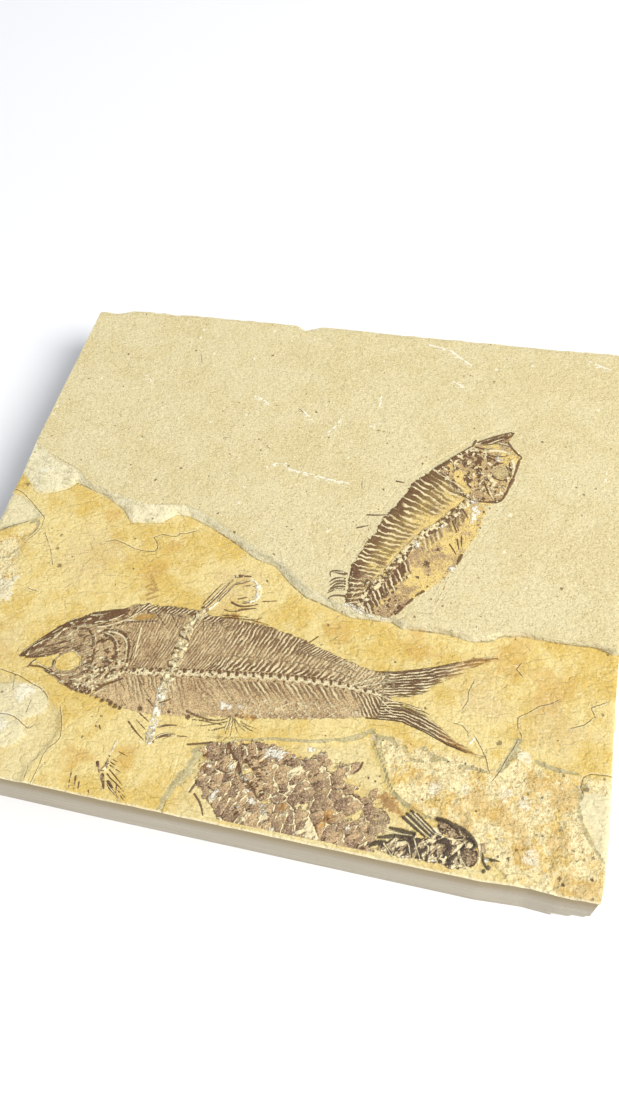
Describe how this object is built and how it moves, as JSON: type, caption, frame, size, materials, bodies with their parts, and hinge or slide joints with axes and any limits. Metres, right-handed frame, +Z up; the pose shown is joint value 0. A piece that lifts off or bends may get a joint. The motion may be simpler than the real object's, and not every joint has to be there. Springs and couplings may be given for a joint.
{
  "type": "fossil fish plate",
  "caption": "Sawn slab of bedded buff stone lying flat, split along its layers to show flattened fossil fish skeletons in low relief.",
  "frame": {"origin": "middle of the slab's sawn underside", "axes": "+X along the front edge to the right, +Y to the back edge, +Z up out of the fossil face"},
  "size_m": [0.1506, 0.1358, 0.0205],
  "materials": {
    "buff_stone": "dry, split and sawn, fine grained",
    "brown_bone": "mineralised bone, slightly waxy",
    "mauve_scale": "mineralised scales, slightly waxy",
    "cream_bone": "mineralised bone, chalky"
  },
  "bodies": {
    "root": {"stone_slab": "buff_stone", "large_fish": "brown_bone", "upper_fish": "brown_bone", "scaly_fish": "mauve_scale", "spiny_bones": "brown_bone", "crossing_skeleton": "cream_bone", "small_skeleton": "brown_bone"}
  },
  "joints": []
}
